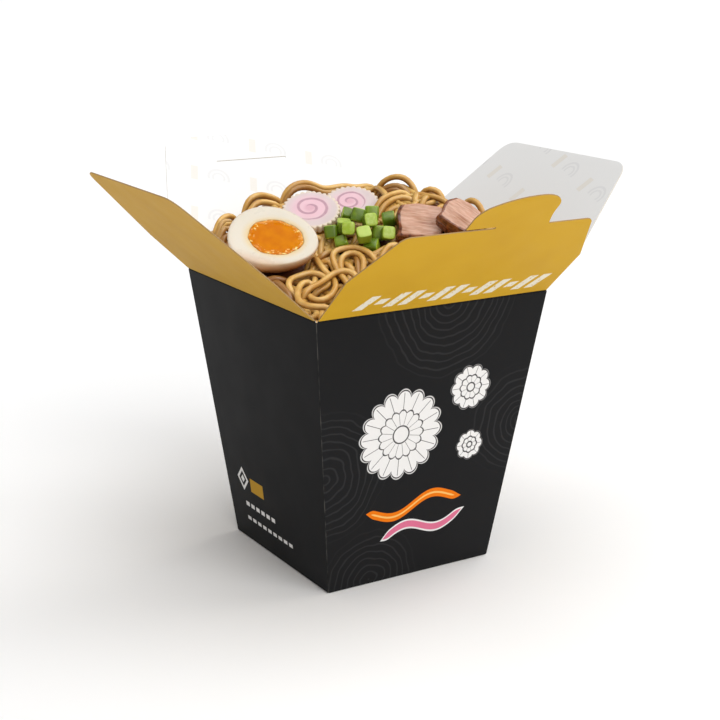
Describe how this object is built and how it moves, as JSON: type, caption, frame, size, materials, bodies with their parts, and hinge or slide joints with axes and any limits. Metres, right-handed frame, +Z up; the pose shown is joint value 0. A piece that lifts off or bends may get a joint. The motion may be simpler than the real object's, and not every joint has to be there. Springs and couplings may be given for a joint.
{
  "type": "noodle takeaway box",
  "caption": "Tapered square takeaway box with open lid flaps, heaped with noodles, half an egg, fish cake slices, diced green stems and pork chunks.",
  "frame": {"origin": "centre of the base, where it meets the surface below it", "axes": "+Z up; -Y is the side that carries the flap with the locking tab; +X is to the right of it"},
  "size_m": [0.2035, 0.2074, 0.1629],
  "materials": {
    "black_board": "black coated board with a satin sheen, bare board inside",
    "gold_board": "ochre gold coated board outside, near-white board inside",
    "noodle": "cooked wheat noodle, tan gold with a wet sheen",
    "egg_white": "boiled egg white, smooth, lightly browned skin",
    "yolk": "soft orange yolk, wet",
    "fish_cake": "white fish cake with a pink spiral",
    "pork": "cooked pork with a brown glaze on its sides",
    "green_stem": "cut green stem, lightly glossy"
  },
  "bodies": {
    "box": {"carton": "black_board", "noodles": "noodle", "egg_white": "egg_white", "egg_yolk": "yolk", "fish_cake_slice_front": "fish_cake", "fish_cake_slice_back": "fish_cake", "pork_chunk_left": "pork", "pork_chunk_right": "pork", "stem_01": "green_stem", "stem_02": "green_stem", "stem_03": "green_stem", "stem_04": "green_stem", "stem_05": "green_stem", "stem_06": "green_stem", "stem_07": "green_stem", "stem_08": "green_stem", "stem_09": "green_stem", "stem_10": "green_stem", "stem_11": "green_stem", "stem_12": "green_stem", "stem_13": "green_stem"},
    "front_flap": {"flap_front": "gold_board"},
    "right_flap": {"flap_right": "gold_board"},
    "back_flap": {"flap_back": "gold_board"},
    "left_flap": {"flap_left": "gold_board"}
  },
  "joints": [
    {"name": "front_flap_hinge", "type": "hinge", "parent": "box", "child": "front_flap", "pos_m": [0, -0.05265, 0.114], "axis": [1, 0, 0], "range_deg": [-40, 118]},
    {"name": "right_flap_hinge", "type": "hinge", "parent": "box", "child": "right_flap", "pos_m": [0.05265, 0, 0.114], "axis": [0, 1, 0], "range_deg": [-40, 118]},
    {"name": "back_flap_hinge", "type": "hinge", "parent": "box", "child": "back_flap", "pos_m": [0, 0.05265, 0.114], "axis": [-1, 0, 0], "range_deg": [-40, 118]},
    {"name": "left_flap_hinge", "type": "hinge", "parent": "box", "child": "left_flap", "pos_m": [-0.05265, 0, 0.114], "axis": [0, -1, 0], "range_deg": [-40, 118]}
  ]
}
